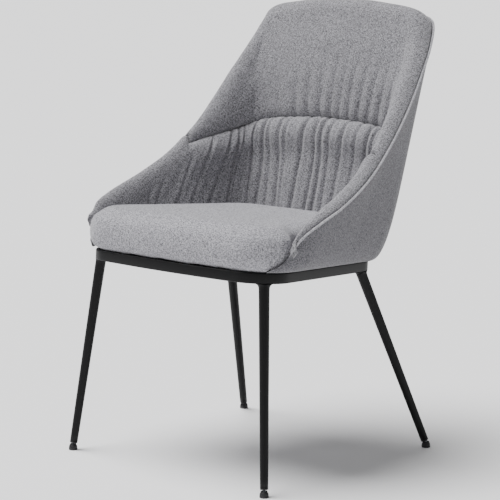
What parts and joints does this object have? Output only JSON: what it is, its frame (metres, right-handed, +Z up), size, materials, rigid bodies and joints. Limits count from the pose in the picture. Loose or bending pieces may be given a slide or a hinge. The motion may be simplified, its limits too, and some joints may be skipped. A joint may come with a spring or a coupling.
{
  "type": "dining chair",
  "caption": "Upholstered dining chair: wrap-around tub back with ruched lumbar pad and low arms, thick loose-look seat cushion, black steel ring with splayed legs on ball glides.",
  "frame": {"origin": "middle of the bounding box at floor level", "axes": "+Z up, -Y towards the front of the chair, +X to the viewer's right when looking at its front from -Y"},
  "size_m": [0.5614, 0.5521, 0.8615],
  "materials": {
    "fabric_seat": "light grey melange weave",
    "fabric_back": "light grey melange weave",
    "frame_black": "matte black powder coat",
    "zinc_steel": "zinc plated",
    "black_plastic": "moulded, matte",
    "plywood": "raw plywood",
    "dust_cloth": "black nonwoven"
  },
  "bodies": {
    "chair_body": {"dust_cover": "dust_cloth", "glide_plug_front_left": "black_plastic", "glide_plug_front_right": "black_plastic", "glide_plug_rear_left": "black_plastic", "glide_plug_rear_right": "black_plastic", "glide_stud_front_left": "zinc_steel", "glide_stud_front_right": "zinc_steel", "glide_stud_rear_left": "zinc_steel", "glide_stud_rear_right": "zinc_steel", "leg_front_left": "frame_black", "leg_front_right": "frame_black", "leg_rear_left": "frame_black", "leg_rear_right": "frame_black", "lumbar_pad": "fabric_seat", "outer_back_cover": "fabric_back", "rim_piping": "fabric_back", "seat_board": "plywood", "seat_bolt_front_left": "zinc_steel", "seat_bolt_front_right": "zinc_steel", "seat_bolt_rear_left": "zinc_steel", "seat_bolt_rear_right": "zinc_steel", "seat_cushion": "fabric_seat", "seat_ring": "frame_black", "seat_tab_front_left": "frame_black", "seat_tab_front_right": "frame_black", "seat_tab_rear_left": "frame_black", "seat_tab_rear_right": "frame_black", "seat_washer_front_left": "zinc_steel", "seat_washer_front_right": "zinc_steel", "seat_washer_rear_left": "zinc_steel", "seat_washer_rear_right": "zinc_steel", "tee_nut_front_left": "zinc_steel", "tee_nut_front_right": "zinc_steel", "tee_nut_rear_left": "zinc_steel", "tee_nut_rear_right": "zinc_steel", "tub_shell": "plywood", "upper_back_pad": "fabric_seat"},
    "pad_front_left": {"glide_pad_front_left": "black_plastic"},
    "pad_front_right": {"glide_pad_front_right": "black_plastic"},
    "pad_rear_left": {"glide_pad_rear_left": "black_plastic"},
    "pad_rear_right": {"glide_pad_rear_right": "black_plastic"}
  },
  "joints": [
    {"name": "glide_tilt_front_left", "type": "hinge", "parent": "chair_body", "child": "pad_front_left", "pos_m": [-0.252, -0.2666, 0.0074], "axis": [-0.9039, 0.4277, 0], "range_deg": [-8, 27]},
    {"name": "glide_tilt_front_right", "type": "hinge", "parent": "chair_body", "child": "pad_front_right", "pos_m": [0.252, -0.2666, 0.0074], "axis": [-0.9039, -0.4277, 0], "range_deg": [-8, 27]},
    {"name": "glide_tilt_rear_left", "type": "hinge", "parent": "chair_body", "child": "pad_rear_left", "pos_m": [-0.2435, 0.2154, 0.0074], "axis": [0.7913, 0.6114, 0], "range_deg": [-6, 27]},
    {"name": "glide_tilt_rear_right", "type": "hinge", "parent": "chair_body", "child": "pad_rear_right", "pos_m": [0.2435, 0.2154, 0.0074], "axis": [0.7913, -0.6114, 0], "range_deg": [-6, 27]}
  ]
}
